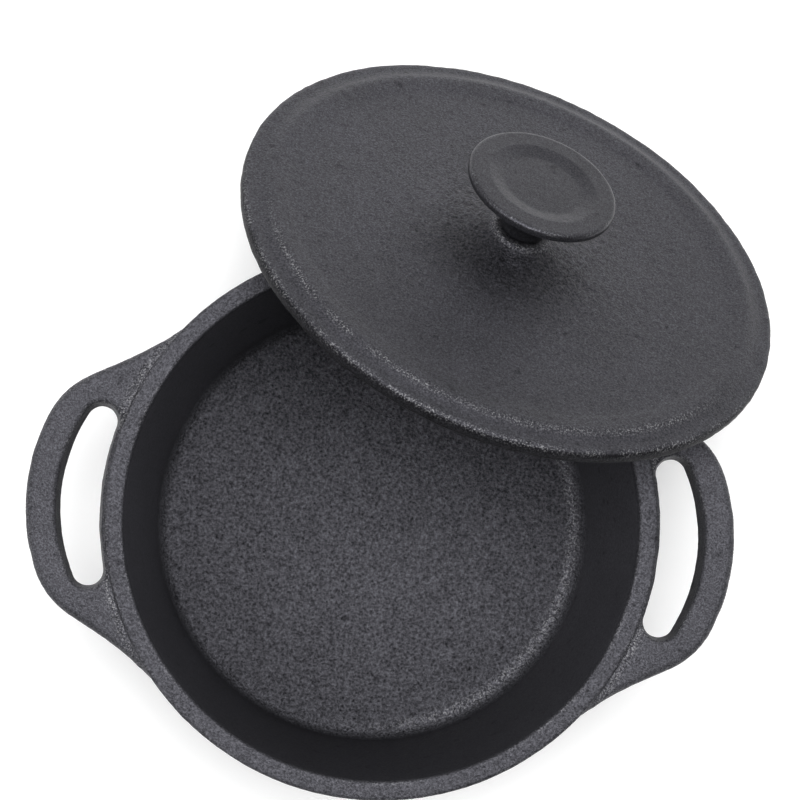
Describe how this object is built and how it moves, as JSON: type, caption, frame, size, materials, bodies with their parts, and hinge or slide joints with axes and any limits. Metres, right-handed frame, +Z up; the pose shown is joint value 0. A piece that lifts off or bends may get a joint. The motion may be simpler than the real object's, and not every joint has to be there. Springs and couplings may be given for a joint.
{
  "type": "cast iron dutch oven",
  "caption": "Round cast iron pot with two loop handles and a separate lid with a mushroom knob; the lid leans on the rim and lifts off.",
  "frame": {"origin": "middle of the pot's flat base, on the table", "axes": "+Z up along the pot's axis; the two loop handles lie along X; the lid leans on the rim on the +Y side"},
  "size_m": [0.2668, 0.2789, 0.1494],
  "materials": {
    "pot_iron": "seasoned, sand-cast texture",
    "lid_iron": "seasoned, sand-cast texture",
    "knob_iron": "seasoned, fine cast texture",
    "screw_steel": "plain zinc-coated steel",
    "washer_steel": "plain zinc-coated steel"
  },
  "bodies": {
    "pot": {"pot": "pot_iron"},
    "lid": {"lid": "lid_iron", "knob": "knob_iron", "knob_screw": "screw_steel", "knob_washer": "washer_steel"}
  },
  "joints": [
    {"name": "lid_lift", "type": "slide", "parent": "pot", "child": "lid", "axis": [0, 0, 1], "range_m": [0, 0.16]}
  ]
}
